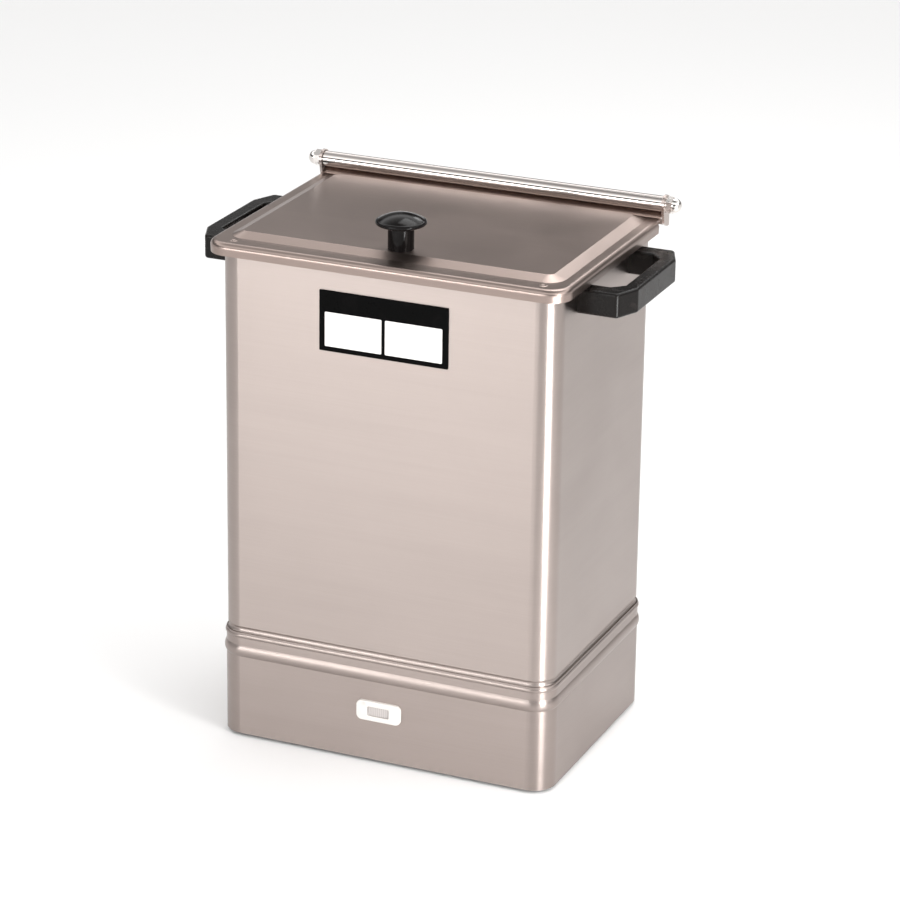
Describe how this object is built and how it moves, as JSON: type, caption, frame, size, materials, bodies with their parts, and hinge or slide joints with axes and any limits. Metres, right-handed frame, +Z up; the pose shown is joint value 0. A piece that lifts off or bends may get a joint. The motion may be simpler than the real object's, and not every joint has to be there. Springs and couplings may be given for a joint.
{
  "type": "hot pack heater",
  "caption": "Free-standing stainless steel tank heater for moist heat packs, with a hinged raised-panel lid, side handles, a beaded base skirt and a lift-out wire rack inside.",
  "frame": {"origin": "on the ground, under the middle of the cabinet's box", "axes": "+Z up, +X to the object's right-hand side seen from the front, -Y out of the front"},
  "size_m": [0.357, 0.2193, 0.4401],
  "materials": {
    "satin_stainless": "satin, faint grain",
    "polished_steel": "polished",
    "bright_wire": "electropolished wire and tube",
    "zinc_plate": "zinc plated sheet",
    "black_phenolic": "moulded, glossy",
    "black_rubber": "matt",
    "white_plastic": "moulded, semi-gloss",
    "frosted_lens": "frosted",
    "brass": "turned",
    "insulating_plastic": "moulded",
    "lead_insulation": "sleeved",
    "plate_enamel": "black enamel",
    "plate_field": "white enamel"
  },
  "bodies": {
    "cabinet": {"tank": "satin_stainless", "base_skirt": "satin_stainless", "base_plate": "zinc_plate", "base_plate_tabs": "zinc_plate", "base_plate_screws": "polished_steel", "rubber_feet": "black_rubber", "foot_screws": "polished_steel", "foot_nuts": "polished_steel", "hinge_bracket_left": "satin_stainless", "hinge_bracket_right": "satin_stainless", "hinge_rod": "polished_steel", "hinge_washers": "polished_steel", "hinge_cap_nuts": "polished_steel", "handle_left": "black_phenolic", "handle_right": "black_phenolic", "handle_screws": "polished_steel", "handle_seals": "black_rubber", "front_plate": "plate_enamel", "front_plate_fields": "plate_field", "lamp_bezel": "white_plastic", "lamp_lens": "frosted_lens", "lamp_body": "insulating_plastic", "heating_element": "bright_wire", "element_gaskets": "black_rubber", "element_nuts": "brass", "thermostat_body": "insulating_plastic", "thermostat_nut": "brass", "thermostat_capillary": "bright_wire", "capillary_gland": "brass", "bulb_clips": "bright_wire", "cord_inlet": "black_rubber", "cord_inlet_nut": "black_rubber", "terminal_block": "insulating_plastic", "terminal_screws": "polished_steel", "earth_stud": "polished_steel", "earth_nut": "polished_steel", "internal_leads": "lead_insulation"},
    "lid": {"lid_pan": "satin_stainless", "lid_knob": "black_phenolic", "lid_knob_screw": "polished_steel", "lid_knob_washer": "black_rubber"},
    "pack_rack": {"rack_grid": "bright_wire", "rack_feet": "bright_wire", "rack_dividers": "bright_wire", "rack_bails": "bright_wire"},
    "dial": {"thermostat_dial": "insulating_plastic"}
  },
  "joints": [
    {"name": "lid_hinge", "type": "hinge", "parent": "cabinet", "child": "lid", "pos_m": [0, 0.1034, 0.4185], "axis": [-1, 0, 0], "range_deg": [0, 105]},
    {"name": "rack_lift", "type": "slide", "parent": "cabinet", "child": "pack_rack", "axis": [0, 0, 1], "range_m": [0, 0.08]},
    {"name": "dial_turn", "type": "hinge", "parent": "cabinet", "child": "dial", "pos_m": [0.062, 0.03, 0.004], "axis": [0, 0, 1], "range_deg": [-135, 135]}
  ]
}
